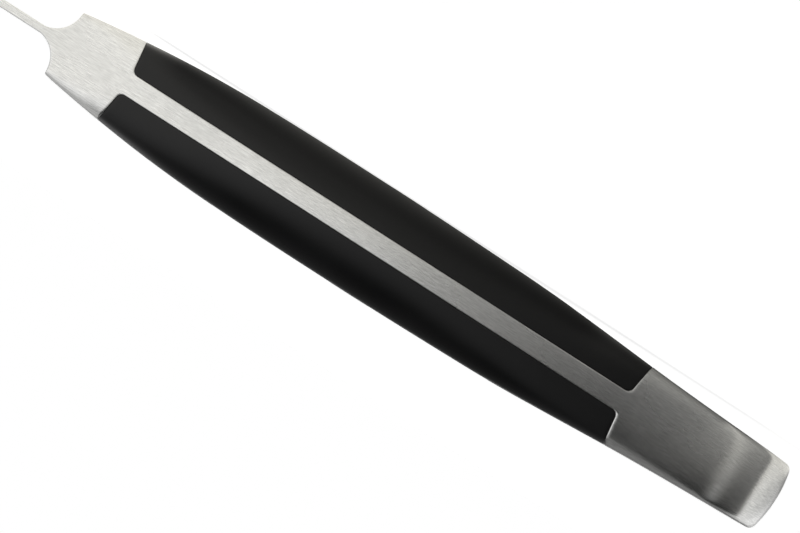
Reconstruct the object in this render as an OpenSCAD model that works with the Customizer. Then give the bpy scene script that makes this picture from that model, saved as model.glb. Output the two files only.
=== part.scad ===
// Fillet knife: blade, bolster, tang and butt are one steel forging, and two scales are
// held to the tang by three cutler's rivets, each a headed pin pressed into a headed tube.
// The knife lies on its right side. The point is towards +X, the spine towards -Y, and
// the origin is under the middle of the knife, on the surface that it lies on.
// Inside the file a place on the handle is given by its distance s behind the bolster's
// front edge and its drop below the line of the blade's spine.

/* [Blade] */
// Length of the blade, from the bolster's front edge to the point
blade_l = 180; // [140:5:230]
// Height of the blade at the heel
blade_h = 21; // [20.5:0.5:26]
// Thickness of the blade's spine at the bolster
spine_t = 1.3; // [1.1:0.05:2]
// Thickness of the blade's spine at the point
point_t = 0.9; // [0.8:0.05:1]
// Thickness of the heel just above the cutting bevel
edge_t = 0.3; // [0.28:0.02:0.5]
// Distance from the bolster to where the straight edge turns up into the belly
belly_start = 70; // [40:5:100]
// Distance from the bolster to where the spine starts to fall to the point
spine_turn = 90; // [60:5:120]
// How far the point lies below the line of the spine
point_drop = 2.6; // [1:0.1:4]
// Angle of the cutting bevel on each side
bevel_a = 15; // [12:1:20]
// Distance of the heel's corner in front of the bolster
heel_x = 3; // [2:0.5:6]
// Radius of the hollow corner between the bolster and the heel
choil_r = 1.4; // [0.8:0.1:2]

/* [Handle seen from the spine] */
// Length of the handle, from the bolster's front edge to the butt
handle_l = 130; // [115:1:150]
// Length of the front bolster along the spine
bolster_l = 11.4; // [8:0.2:18]
// Length of the butt cap along the spine
cap_l = 28.2; // [24:0.2:36]
// Width of the bolster at its front edge
bolster_w = 11.1; // [9:0.1:13]
// How fast the bolster's half width grows, in mm for each mm
bolster_flare = 0.16; // [0.1:0.01:0.2]
// Width of the grip at its widest
grip_w = 17.5; // [15:0.1:21]
// Distance of the widest place behind the bolster's front edge
grip_at = 54; // [44:1:64]
// Width of the grip halfway from the bolster's front edge to its widest place
front_w = 16.8; // [14:0.1:20]
// How fast the half width still grows there, in mm for each mm
front_swell = 0.04; // [0.02:0.01:0.06]
// Width of the grip halfway from its widest place to the butt cap
rear_w = 16.9; // [14:0.1:20]
// How fast the half width falls there, in mm for each mm
rear_taper = 0.02; // [0.01:0.01:0.05]
// Width of the handle where the butt cap starts
cap_w = 14.2; // [12:0.1:15]
// How fast the cap's half width falls at its start, in mm for each mm
cap_taper = 0.07; // [0.04:0.01:0.1]
// Width of the butt at its end
butt_w = 11.4; // [9:0.1:12]
// How fast the butt's half width falls at its end, in mm for each mm
butt_taper = 0.05; // [0.03:0.01:0.08]
// Radius of the butt's end
end_r = 20.5; // [16:0.5:40]
// Radius of the butt's corners
end_corner_r = 1.1; // [0.8:0.1:2]
// Radius of the hollow between the bolster and the blade
cove_r = 4.6; // [3:0.1:5]
// Thickness of the tang, which shows as the strip between the scales
tang_t = 3.5; // [2.5:0.1:4.5]
// Radius of the inner corners of the scales
corner_r = 1; // [0.6:0.1:1.6]
// Slant of the scales' ends against the tang, in degrees
joint_draft = 8; // [4:1:12]

/* [Handle seen from the side] */
// How far the spine's crest stands above the line of the blade's spine
crest_h = 1.2; // [0.5:0.1:3]
// Distance of the crest behind the bolster's front edge
crest_at = 38; // [30:1:46]
// How far the spine has fallen where the butt turns down
spine_fall = 5; // [3:0.2:8]
// Slope of the spine where the butt turns down
fall_slope = 0.16; // [0.1:0.01:0.25]
// Height of the bolster
bolster_h = 19.4; // [18:0.1:20]
// Depth of the belly below the line of the blade's spine
belly_h = 25; // [23:0.2:28]
// Distance of the belly behind the bolster's front edge
belly_at = 58; // [50:1:66]
// Depth of the waist in front of the butt
waist_h = 22.4; // [21:0.2:24]
// Distance of the waist behind the bolster's front edge
waist_at = 97; // [90:1:104]
// Radius of the butt's turn
butt_r = 13.5; // [11:0.5:16]
// Radius of the beak under the butt
beak_r = 3.2; // [2.4:0.1:4]
// Slope of the underside where it meets the beak, in degrees
beak_a = 20; // [12:1:26]
// Lean of the bolster's front edge, in degrees
front_lean = 2.5; // [0:0.5:6]
// Lean of the joint between bolster and scales, in degrees
bolster_lean = 2; // [0:0.5:8]
// Lean of the joint between scales and butt cap, in degrees
cap_lean = 2.5; // [0:0.5:8]

/* [Sections of the handle] */
// How square the bolster's section is in front: 2 is an ellipse, and more is squarer
bolster_square = 30; // [16:1:40]
// How square the section is where the scales start
joint_square = 6.5; // [5:0.5:9]
// How square the grip's section is at its widest
grip_square = 2.8; // [2.4:0.1:3.6]
// How square the section is where the butt cap starts
cap_square = 8; // [5:0.5:10]
// How square the section is where the butt turns down
turn_square = 14; // [10:0.5:18]
// How square the butt's section is at its squarest
butt_square = 18; // [12:0.5:22]
// How far the section's top is crowned at the grip, as a share of its height
grip_crown = 0.03; // [0:0.01:0.06]
// How far the section's top is crowned at the butt cap, as a share of its height
cap_crown = 0.07; // [0.02:0.01:0.1]
// The sections are widest at this share of their height from the spine
wide_at = 0.44; // [0.4:0.01:0.5]

/* [Rivets] */
// Distance of the first rivet behind the bolster's front edge
rivet_at = 29; // [24:0.5:36]
// Distance between rivets
rivet_pitch = 28.5; // [22:0.5:31]
// Diameter of a rivet's head
head_d = 7; // [6:0.1:9]
// Thickness of a rivet's head
head_t = 1.8; // [1.4:0.1:2.4]
// Outer diameter of a rivet's tube
tube_d = 4.8; // [4:0.1:5.4]
// Diameter of a rivet's pin
pin_d = 3; // [2.4:0.1:3.4]
// Clearance of the tube in its holes, at each side
hole_gap = 0.1; // [0.05:0.01:0.2]
// Room left at the ends of the pin and the tube
end_gap = 0.8; // [0.5:0.1:1.2]

/* [Hidden] */
$fn = 96;

steel = [0.78, 0.78, 0.76];
rivet_steel = [0.72, 0.73, 0.74];
black = [0.08, 0.08, 0.085];

// How far the skin runs on in front of the bolster, to be cut to the cove
lead = 6;
// How far the skin's top dips under the blade's spine there, and how fast it rises to cross it
lead_dip = 0.1;
lead_rise = 0.035;
// How far the cove is sunk under the blade's faces
cove_sink = 0.07;
// Half the thickness of the cutting edge itself, and half the height of the point's blunt end
edge_e = 0.02;
point_e = 0.15;
// Rings along the straight part of the skin and round the butt, points round a ring, and how much
// closer these stand at the section's corners
ring_step = 3;
butt_rings = 20;
ring_n = 48;
crowd = 0.6;
// Cutting shapes run past what they cut by this margin, reach this far to each side of the
// knife's middle plane, and this far along and across the knife
over = 5;
reach_z = 20;
reach = 60;

// A knot is [place, value, slope]. Between two knots the value follows a cubic
function between(a, b, x) =
    let (l = b[0] - a[0], t = (x - a[0]) / l, t2 = t * t, t3 = t2 * t)
    (2 * t3 - 3 * t2 + 1) * a[1] + (t3 - 2 * t2 + t) * l * a[2]
    + (3 * t2 - 2 * t3) * b[1] + (t3 - t2) * l * b[2];
function along(k, x, i = 0) =
    i == len(k) - 2 || x <= k[i + 1][0] ? between(k[i], k[i + 1], x) : along(k, x, i + 1);
function leg(r, d) = sqrt(max(0, r * r - d * d));

// The butt's turn is a circle that ends the handle. The beak's circle touches it at this angle
fall_a = atan(fall_slope);
turn_at = handle_l - butt_r * (1 - sin(fall_a));
butt_c = [handle_l - butt_r, spine_fall + butt_r * cos(fall_a)];
beak_start = 25;
beak_c = butt_c + (butt_r - beak_r) * [cos(beak_start), sin(beak_start)];
beak_foot = beak_c + beak_r * [-sin(beak_a), cos(beak_a)];
beak_tip = beak_c + beak_r * [cos(beak_start), sin(beak_start)];

top_knots = [[-lead, lead_dip, -lead_rise], [crest_at, -crest_h, 0], [turn_at, spine_fall, fall_slope]];
bottom_knots = [[-lead, bolster_h, 0], [belly_at, belly_h, 0], [waist_at, waist_h, 0],
    [beak_foot[0], beak_foot[1], tan(beak_a)]];
plan_knots = [[-lead, bolster_w / 2 - lead * bolster_flare, bolster_flare],
    [0, bolster_w / 2, bolster_flare], [grip_at / 2, front_w / 2, front_swell], [grip_at, grip_w / 2, 0],
    [(grip_at + handle_l - cap_l) / 2, rear_w / 2, -rear_taper],
    [handle_l - cap_l, cap_w / 2, -cap_taper], [handle_l, butt_w / 2, -butt_taper]];
// The slices of the skin lean by this many degrees
lean_knots = [[-lead, front_lean, 0], [0, front_lean, 0], [bolster_l, -bolster_lean, 0],
    [handle_l - cap_l, cap_lean, 0], [turn_at, 0, 0], [handle_l, 0, 0]];
// The butt's section grows square and then, near its domed end, round: it does so over these
// lengths, measured from the end
square_d = 4.5;
round_d = 1;
round_square = 3.5;
// The slopes of that change where the scales start, at the butt cap, at its turn and at its dome
joint_slope = -0.26;
cap_slope = 0.32;
turn_slope = 0.4;
round_slope = -1.9;
square_knots = [[-lead, bolster_square, 0], [bolster_l, joint_square, joint_slope],
    [grip_at, grip_square, 0], [handle_l - cap_l, cap_square, cap_slope], [turn_at, turn_square, turn_slope],
    [handle_l - square_d, butt_square, 0], [handle_l - round_d, round_square, round_slope], [handle_l, 2, 0]];
// The bolster's top is flat, and so is the butt's end nearly
joint_crown = 0.01;
end_crown = 0.05;
crown_knots = [[-lead, 0, 0], [bolster_l, joint_crown, 0], [grip_at, grip_crown, 0],
    [handle_l - cap_l, cap_crown, 0], [handle_l, end_crown, 0]];
// The domed end is as wide at its middle height
wide_knots = [[-lead, wide_at, 0], [turn_at, wide_at, 0], [handle_l, 0.5, 0]];

function top(s) = s <= turn_at ? along(top_knots, s) : butt_c[1] - leg(butt_r, s - butt_c[0]);
function bottom(s) =
    s <= beak_foot[0] ? along(bottom_knots, s)
    : s <= beak_tip[0] ? beak_c[1] + leg(beak_r, s - beak_c[0])
    : butt_c[1] + leg(butt_r, s - butt_c[0]);

// The half width follows the plan, and at the butt its round corners and its round end
function half_w(s) =
    let (b = along(plan_knots, s), d = handle_l - s, side = b - end_corner_r, inner = end_r - end_corner_r,
         corner_d = end_r - leg(inner, side), dome_d = end_r - leg(inner, side) * end_r / inner)
    d < dome_d ? leg(end_r, end_r - d) : d < corner_d ? side + leg(end_corner_r, corner_d - d) : b;

// The place on the underside that a line from the spine at s meets when it leans by a
function foot(s, a, guess, n = 6) =
    n == 0 ? guess : foot(s, a, s + tan(a) * (bottom(guess) - top(s)), n - 1);

// A slice of the handle is [top place, bottom place]. Round the butt the slices stand at equal
// angles of its turn, and the last one stops just short of the end and is closed by a flat face
function slice(s) =
    let (f = foot(s, along(lean_knots, s), s))
    [[s, top(s)], [f, bottom(f)]];
last_a = 86;
body_n = ceil((turn_at + lead) / ring_step);
body_slices = [for (i = [0 : body_n]) slice(-lead + i * (turn_at + lead) / body_n)];
butt_slices = [for (i = [1 : butt_rings])
    slice(butt_c[0] + butt_r * sin(fall_a + i * (last_a - fall_a) / butt_rings))];
slices = concat(body_slices, butt_slices);

function round_size(a, q) = pow(pow(abs(sin(a)), q) + pow(abs(cos(a)), q), -1 / q);
function ring(c) =
    let (tall = c[0] - c[1], wide = along(wide_knots, c[0][0]), mid = c[0] - tall * wide,
         q = along(square_knots, c[0][0]), crown = along(crown_knots, c[0][0]))
    [for (i = [0 : ring_n - 1])
        let (even = 360 * i / ring_n, a = even + crowd / 4 * sin(4 * even) * 180 / PI,
             u = round_size(a, q) * sin(a), v = round_size(a, q) * cos(a) * (1 - crown * u * u),
             p = mid + tall * (v > 0 ? wide : 1 - wide) * v)
        [-p[0], p[1], half_w(p[0]) * u]];

// A closed skin through some of the slices, from the front to the back. Its two ends are fans
// round the middles of the slices
function middle(c) = let (p = (c[0] + c[1]) / 2) [-p[0], p[1], 0];
module skin(part) {
    last = len(part) - 1;
    front = len(part) * ring_n;
    polyhedron(
        points = concat([for (c = part) each ring(c)], [middle(part[0]), middle(part[last])]),
        faces = concat(
            [for (i = [0 : ring_n - 1]) [front, i, (i + 1) % ring_n]],
            [for (r = [0 : last - 1], i = [0 : ring_n - 1])
                let (a = r * ring_n + i, b = r * ring_n + (i + 1) % ring_n)
                each [[a, a + ring_n, b + ring_n], [a, b + ring_n, b]]],
            [for (i = [0 : ring_n - 1]) [front + 1, last * ring_n + (i + 1) % ring_n, last * ring_n + i]]),
        convexity = 6);
}

// The slices from before place a to after place b, and far enough for joints that lean
slice_over = 8.5;
function slices_over(a, b) =
    [for (c = body_slices) if (c[0][0] > a - slice_over && c[0][0] < b + slice_over) c];

// The left face of the blade is this plane: it thins towards the edge and the point
rise_a = atan((spine_t - edge_t) / 2 / blade_h);
taper_a = atan((spine_t - point_t) / 2 / blade_l);
module on_left_face() {
    translate([0, 0, spine_t / 2]) rotate([-rise_a, taper_a, 0]) children();
}
module blade_space() {
    on_left_face() translate([-reach, -reach, -reach_z]) cube([blade_l + 2 * reach, 2 * reach, reach_z]);
}
module both_sides() {
    children();
    mirror([0, 0, 1]) children();
}

// The blade's outline from the side. An arc that leaves a straight line and is dy away from it
// dx further on has this radius
function arc_r(dx, dy) = (dx * dx + dy * dy) / (2 * dy);
belly_r = arc_r(blade_l - belly_start, blade_h - point_drop - point_e);
fall_r = arc_r(blade_l - spine_turn, point_drop - point_e);
// The blade's root is hidden in the bolster and meets its underside this far in front of it
root_x = -3;
root_meet = 2;
root_h = bottom(-root_meet);
// Long arcs are cut this finely
arc_fn = 1440;
module blade_outline() {
    difference() {
        polygon([[root_x, 0], [blade_l, 0], [blade_l, blade_h],
            [heel_x, blade_h], [heel_x, root_h], [root_x, root_h]]);
        // The belly's arc and the fall of the spine
        difference() {
            translate([belly_start, blade_h - belly_r]) square([blade_l, belly_r + over]);
            translate([belly_start, blade_h - belly_r]) circle(belly_r, $fn = arc_fn);
        }
        difference() {
            translate([spine_turn, -over]) square([blade_l, point_drop + over]);
            translate([spine_turn, fall_r]) circle(fall_r, $fn = 4 * arc_fn);
        }
    }
    // The hollow corner is no deeper than the heel
    r = min(choil_r, blade_h - root_h);
    difference() {
        translate([heel_x - r, root_h]) square([r + heel_x, r]);
        translate([heel_x - r, root_h + r]) circle(r);
    }
}
// All that lies inside the cutting bevels: flat along the straight edge, a cone round the belly.
// The bevels would meet this far past the cutting edge
bevel_past = edge_e / tan(bevel_a);
bevel_w = (blade_h + over + bevel_past) * tan(bevel_a);
cone_r = belly_r + bevel_past;
module bevel_space() {
    rotate([90, 0, 90]) translate([0, 0, root_x - over]) linear_extrude(belly_start - root_x + over)
        polygon([[-over, -bevel_w], [blade_h + bevel_past, 0], [-over, bevel_w]]);
    intersection() {
        translate([belly_start, blade_h - belly_r, 0]) rotate_extrude($fn = arc_fn)
            polygon([[0, -cone_r * tan(bevel_a)], [cone_r, 0], [0, cone_r * tan(bevel_a)]]);
        translate([belly_start, -over, -over]) cube([blade_l, blade_h + 2 * over, 2 * over]);
    }
}
module blade() {
    intersection() {
        translate([0, 0, -over]) linear_extrude(2 * over) blade_outline();
        blade_space();
        mirror([0, 0, 1]) blade_space();
        bevel_space();
    }
}

// What is cut from the left side of the skin in front of the bolster, down to the cove
module cove_cut() {
    on_left_face() rotate([0, 0, front_lean]) rotate([90, 0, 0])
        translate([0, -cove_sink, -reach]) linear_extrude(2 * reach) {
            translate([cove_r, 0]) square(reach_z);
            translate([0, cove_r]) square(reach_z);
            translate([cove_r, cove_r]) circle(cove_r);
        }
}

// The space of the left scale runs on from one of its ends, beside the tang. The end slants
// outwards, and its corner at the tang is round
module end_space(lean) {
    half_a = (90 + joint_draft) / 2;
    tangent = corner_r / tan(half_a);
    centre = [tangent, corner_r];
    rotate([0, 0, lean]) rotate([90, 0, 0]) translate([0, 0, -reach]) linear_extrude(2 * reach)
        difference() {
            polygon([[0, 0], [handle_l, 0], [handle_l, reach_z], [-reach_z * tan(joint_draft), reach_z]]);
            difference() {
                polygon([[0, 0], [tangent, 0], centre, tangent * [-sin(joint_draft), cos(joint_draft)]]);
                translate(centre) circle(corner_r);
            }
        }
}
module scale_space() {
    intersection() {
        translate([-bolster_l, top(bolster_l), tang_t / 2]) mirror([1, 0, 0]) end_space(bolster_lean);
        translate([cap_l - handle_l, top(handle_l - cap_l), tang_t / 2]) end_space(cap_lean);
    }
}

// Rivets stand in the middle of the handle's height
function rivet_s(i) = rivet_at + i * rivet_pitch;
function rivet_place(i) = let (s = rivet_s(i)) [-s, (top(s) + bottom(s)) / 2, 0];
function seat_z(i) = half_w(rivet_s(i)) - head_t;
module rivet_holes(d) {
    for (i = [0 : 2]) translate(rivet_place(i)) cylinder(d = d, h = 2 * reach_z, center = true);
}

module forging() {
    color(steel) difference() {
        union() {
            difference() {
                skin(slices);
                both_sides() scale_space();
                both_sides() cove_cut();
            }
            blade();
        }
        rivet_holes(tube_d + 2 * hole_gap);
    }
}

module left_scale() {
    color(black) difference() {
        intersection() {
            skin(slices_over(bolster_l, handle_l - cap_l));
            scale_space();
        }
        rivet_holes(tube_d + 2 * hole_gap);
        for (i = [0 : 2]) translate(rivet_place(i) + [0, 0, seat_z(i)]) cylinder(d = head_d, h = reach_z);
    }
}

// A rivet's head fills its recess and is ground flush with the scale
module head(i) {
    intersection() {
        skin(slices_over(rivet_s(i), rivet_s(i)));
        translate(rivet_place(i) + [0, 0, seat_z(i)]) cylinder(d = head_d, h = reach_z);
    }
}
module rivet_pin(i) {
    color(rivet_steel) {
        head(i);
        translate(rivet_place(i) + [0, 0, end_gap - seat_z(i)])
            cylinder(d = pin_d, h = 2 * seat_z(i) - end_gap + head_t / 2);
    }
}
module rivet_tube(i) {
    color(rivet_steel) difference() {
        union() {
            mirror([0, 0, 1]) head(i);
            translate(rivet_place(i) - [0, 0, seat_z(i) + head_t / 2])
                cylinder(d = tube_d, h = 2 * seat_z(i) - end_gap + head_t / 2);
        }
        translate(rivet_place(i) + [0, 0, end_gap / 2 - seat_z(i)]) cylinder(d = pin_d, h = 2 * seat_z(i));
    }
}

// The knife's corners, for its place on the surface
low_y = min([for (c = slices) c[0][1]]);
high_y = max(blade_h, max([for (c = slices) max(c[0][1], c[1][1])]));
module placed() {
    translate([(handle_l - blade_l) / 2, -(low_y + high_y) / 2, grip_w / 2]) children();
}

placed() forging();
placed() left_scale();
placed() mirror([0, 0, 1]) left_scale();  // right_scale
placed() rivet_pin(0);  // front_rivet_pin
placed() rivet_tube(0);  // front_rivet_tube
placed() rivet_pin(1);  // middle_rivet_pin
placed() rivet_tube(1);  // middle_rivet_tube
placed() rivet_pin(2);  // rear_rivet_pin
placed() rivet_tube(2);  // rear_rivet_tube
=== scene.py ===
import math

import bmesh
import bpy
import numpy as np
from mathutils import Matrix, Vector


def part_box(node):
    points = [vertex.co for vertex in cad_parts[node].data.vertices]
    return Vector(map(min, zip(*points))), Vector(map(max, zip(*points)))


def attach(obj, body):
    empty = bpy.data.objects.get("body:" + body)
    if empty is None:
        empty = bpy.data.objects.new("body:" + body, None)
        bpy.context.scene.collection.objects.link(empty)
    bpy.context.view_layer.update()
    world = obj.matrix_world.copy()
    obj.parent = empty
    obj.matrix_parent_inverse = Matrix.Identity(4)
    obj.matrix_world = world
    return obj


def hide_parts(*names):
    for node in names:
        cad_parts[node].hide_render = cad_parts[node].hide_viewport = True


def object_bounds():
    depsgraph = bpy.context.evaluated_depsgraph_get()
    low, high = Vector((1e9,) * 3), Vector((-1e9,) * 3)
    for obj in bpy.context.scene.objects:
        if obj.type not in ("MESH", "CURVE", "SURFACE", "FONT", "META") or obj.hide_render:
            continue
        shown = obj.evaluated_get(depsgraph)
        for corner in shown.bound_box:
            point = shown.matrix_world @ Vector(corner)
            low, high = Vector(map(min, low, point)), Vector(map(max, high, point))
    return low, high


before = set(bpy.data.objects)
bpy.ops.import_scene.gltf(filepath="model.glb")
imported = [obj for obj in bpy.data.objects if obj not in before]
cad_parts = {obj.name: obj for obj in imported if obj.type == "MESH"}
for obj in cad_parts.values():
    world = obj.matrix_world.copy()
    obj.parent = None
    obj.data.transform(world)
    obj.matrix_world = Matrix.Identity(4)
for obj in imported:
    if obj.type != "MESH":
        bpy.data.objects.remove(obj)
cad_low, cad_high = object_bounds()

# Lengths are in millimetres until a mesh is made. A place on the handle is its distance s behind
# the bolster's front edge, its drop below the line of the blade's spine, and its distance from the
# knife's middle plane
MM = 0.001

# Blade
BLADE_L = 180.0
BLADE_H = 21.0
SPINE_T = 1.3
POINT_T = 0.9
EDGE_T = 0.3
BELLY_START = 70.0
SPINE_TURN = 90.0
POINT_DROP = 2.6
BEVEL_A = 15.0
HEEL_X = 3.0
CHOIL_R = 1.4
EDGE_E = 0.02
POINT_E = 0.15

# Handle seen from the spine
HANDLE_L = 130.0
BOLSTER_L = 11.4
CAP_L = 28.2
BOLSTER_W = 11.1
BOLSTER_FLARE = 0.16
GRIP_W = 17.5
GRIP_AT = 54.0
FRONT_W = 16.8
FRONT_SWELL = 0.04
REAR_W = 16.9
REAR_TAPER = 0.02
CAP_W = 14.2
CAP_TAPER = 0.07
BUTT_W = 11.4
BUTT_TAPER = 0.05
END_R = 20.5
END_CORNER_R = 1.1
COVE_R = 4.6
TANG_T = 3.5
CORNER_R = 1.0
JOINT_DRAFT = math.radians(8)

# Handle seen from the side
CREST_H = 1.2
CREST_AT = 38.0
SPINE_FALL = 5.0
FALL_SLOPE = 0.16
BOLSTER_H = 19.4
BELLY_H = 25.0
BELLY_AT = 58.0
WAIST_H = 22.4
WAIST_AT = 97.0
BUTT_R = 13.5
BEAK_R = 3.2
BEAK_A = math.radians(20)
BEAK_START = math.radians(25)
FRONT_LEAN = 2.5
BOLSTER_LEAN = 2.0
CAP_LEAN = 2.5

# The handle's sections, from the bolster's front to the domed end: 2 is an ellipse, and more is squarer.
# Some of them have a slope, and the last ones lie this far from the end
BOLSTER_SQUARE = 30
JOINT_SQUARE = 6.5
GRIP_SQUARE = 2.8
CAP_SQUARE = 8
TURN_SQUARE = 14
BUTT_SQUARE = 18
ROUND_SQUARE = 3.5
JOINT_SLOPE = -0.26
CAP_SLOPE = 0.32
TURN_SLOPE = 0.4
ROUND_SLOPE = -1.9
SQUARE_D = 4.5
ROUND_D = 1

# How far a section's top is crowned, and how far down it is widest, as shares of its height
JOINT_CROWN = 0.01
GRIP_CROWN = 0.03
CAP_CROWN = 0.07
END_CROWN = 0.05
WIDE_AT = 0.44
END_WIDE_AT = 0.5

# Rivets, and the room in and round them
RIVET_AT = 29.0
RIVET_PITCH = 28.5
HEAD_D = 7.0
HEAD_T = 1.8
TUBE_D = 4.8
PIN_D = 3.0
HOLE_GAP = 0.1
HEAD_GAP = 0.02
PIN_GAP = 0.02
END_GAP = 0.8
END_BEVEL = 0.3
RIVET_NAMES = ("front", "middle", "rear")

# The finish: how round the ground edges are, how far the plastic lies under the steel and off it, and how
# far the cove's foot lies under the blade's face
STEEL_EDGE_R = 0.17
SCALE_EDGE_R = 0.09
SPINE_EDGE_R = 0.18
RIVET_EDGE_R = 0.07
SCALE_SUNK = 0.02
SCALE_GAP = 0.015
COVE_SINK = 0.07

# Where the bolster's front edge, the spine's line and the middle plane lie in the frame
forging_low, forging_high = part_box("forging")
_, left_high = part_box("left_scale")
right_low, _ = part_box("right_scale")
ZERO_X = forging_high.x / MM - BLADE_L
ZERO_Y = forging_low.y / MM + CREST_H
ZERO_Z = (left_high.z + right_low.z) / 2 / MM


# The handle's surface


def leg(r, d):
    """The other leg of a right triangle with the longest side r and a leg d"""
    return np.sqrt(np.maximum(r * r - d * d, 0))


def along(knots, x):
    """The cubic through the knots, each of which is a place, a value and a slope"""
    table = np.array(knots, float)
    x = np.asarray(x, float)
    i = np.clip(np.searchsorted(table[:, 0], x) - 1, 0, len(table) - 2)
    a, b = table[i], table[i + 1]
    span = b[..., 0] - a[..., 0]
    t = (x - a[..., 0]) / span
    t2, t3 = t * t, t * t * t
    start = (2 * t3 - 3 * t2 + 1) * a[..., 1] + (t3 - 2 * t2 + t) * span * a[..., 2]
    return start + (3 * t2 - 2 * t3) * b[..., 1] + (t3 - t2) * span * b[..., 2]


# The butt's turn and the beak under it
FALL_A = math.atan(FALL_SLOPE)
TURN_AT = HANDLE_L - BUTT_R * (1 - math.sin(FALL_A))
BUTT_S = HANDLE_L - BUTT_R
BUTT_Y = SPINE_FALL + BUTT_R * math.cos(FALL_A)
BEAK_S = BUTT_S + (BUTT_R - BEAK_R) * math.cos(BEAK_START)
BEAK_Y = BUTT_Y + (BUTT_R - BEAK_R) * math.sin(BEAK_START)
BEAK_FOOT_S = BEAK_S - BEAK_R * math.sin(BEAK_A)
BEAK_FOOT_Y = BEAK_Y + BEAK_R * math.cos(BEAK_A)
BEAK_TIP_S = BEAK_S + BEAK_R * math.cos(BEAK_START)

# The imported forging's turn is made of facets, and reaches this share of its radius
BUTT_REACH = (ZERO_X - forging_low.x / MM - BUTT_S) / BUTT_R

# The skin starts this far in front of the bolster, where its top stands this little above the blade's spine
LEAD = 6.0
TOP_PROUD = 0.015

# Where the butt cap starts
CAP_S = HANDLE_L - CAP_L

# What changes along the handle. Each knot is a place, a value and a slope. First the drops of its top and
# its bottom, and half its width
TOP = [[-LEAD, -TOP_PROUD, 0], [CREST_AT, -CREST_H, 0], [TURN_AT, SPINE_FALL, FALL_SLOPE]]
BOTTOM = [[-LEAD, BOLSTER_H, 0], [BELLY_AT, BELLY_H, 0], [WAIST_AT, WAIST_H, 0],
          [BEAK_FOOT_S, BEAK_FOOT_Y, math.tan(BEAK_A)]]
PLAN = [[-LEAD, BOLSTER_W / 2 - LEAD * BOLSTER_FLARE, BOLSTER_FLARE],
        [0, BOLSTER_W / 2, BOLSTER_FLARE],
        [GRIP_AT / 2, FRONT_W / 2, FRONT_SWELL],
        [GRIP_AT, GRIP_W / 2, 0],
        [(GRIP_AT + CAP_S) / 2, REAR_W / 2, -REAR_TAPER],
        [CAP_S, CAP_W / 2, -CAP_TAPER],
        [HANDLE_L, BUTT_W / 2, -BUTT_TAPER]]

# Then how many degrees a slice leans, how square it is, how far its top is crowned and where it is widest
LEAN = [[-LEAD, FRONT_LEAN, 0], [0, FRONT_LEAN, 0], [BOLSTER_L, -BOLSTER_LEAN, 0],
        [CAP_S, CAP_LEAN, 0], [TURN_AT, 0, 0], [HANDLE_L, 0, 0]]
SQUARE = [[-LEAD, BOLSTER_SQUARE, 0],
          [BOLSTER_L, JOINT_SQUARE, JOINT_SLOPE],
          [GRIP_AT, GRIP_SQUARE, 0],
          [CAP_S, CAP_SQUARE, CAP_SLOPE],
          [TURN_AT, TURN_SQUARE, TURN_SLOPE],
          [HANDLE_L - SQUARE_D, BUTT_SQUARE, 0],
          [HANDLE_L - ROUND_D, ROUND_SQUARE, ROUND_SLOPE],
          [HANDLE_L, 2, 0]]
CROWN = [[-LEAD, 0, 0], [BOLSTER_L, JOINT_CROWN, 0], [GRIP_AT, GRIP_CROWN, 0],
         [CAP_S, CAP_CROWN, 0], [HANDLE_L, END_CROWN, 0]]
WIDE = [[-LEAD, WIDE_AT, 0], [TURN_AT, WIDE_AT, 0], [HANDLE_L, END_WIDE_AT, 0]]

# How many rounds each search takes to settle
FOOT_ROUNDS = 6
ANGLE_ROUNDS = 5
EVEN_ROUNDS = 12
OUTLINE_ROUNDS = 12
HOLLOW_ROUNDS = 6
BEVEL_ROUNDS = 20
SLICE_ROUNDS = 8
CROWN_ROUNDS = 6

# The step over which a normal is measured, and how near the handle's end it is taken backwards. The other
# two keep its length from being nothing and its side from being undecided
NORMAL_STEP = 1e-4
NEAR_END = 0.1
LEAST = 1e-12
TIE = 1e-9


def top(s):
    return np.where(s <= TURN_AT, along(TOP, s), BUTT_Y - leg(BUTT_R, s - BUTT_S))


def bottom(s):
    beak = BEAK_Y + leg(BEAK_R, s - BEAK_S)
    butt = BUTT_Y + leg(BUTT_R, s - BUTT_S)
    return np.where(s <= BEAK_FOOT_S, along(BOTTOM, s), np.where(s <= BEAK_TIP_S, beak, butt))


def half_w(s):
    """Half the handle's width at s, with the butt's round corners and its domed end"""
    plain = along(PLAN, s)
    d = np.maximum(HANDLE_L - s, 0)
    side = plain - END_CORNER_R
    inner = END_R - END_CORNER_R
    corner_d = END_R - leg(inner, side)
    dome_d = END_R - leg(inner, side) * END_R / inner
    corner = side + leg(END_CORNER_R, corner_d - d)
    return np.where(d < dome_d, leg(END_R, END_R - d), np.where(d < corner_d, corner, plain))


def skin(s, phi):
    """The handle's surface on its left side: s picks the slice, and phi runs from its top to its bottom"""
    t = top(s)
    lean = np.tan(np.radians(along(LEAN, s)))
    f = s
    for _ in range(FOOT_ROUNDS):
        f = s + lean * (bottom(f) - t)
    b = bottom(f)
    wide = along(WIDE, s)
    q = along(SQUARE, s)
    rho = (np.abs(np.sin(phi)) ** q + np.abs(np.cos(phi)) ** q) ** (-1 / q)
    u, v = rho * np.sin(phi), rho * np.cos(phi)
    v = v * (1 - along(CROWN, s) * u * u)
    share = np.where(v > 0, wide, 1 - wide) * v - wide
    at = s + (s - f) * share
    at = at - np.maximum(at - BUTT_S, 0) * (1 - BUTT_REACH)
    return at, t + (t - b) * share, half_w(at) * u


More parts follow.
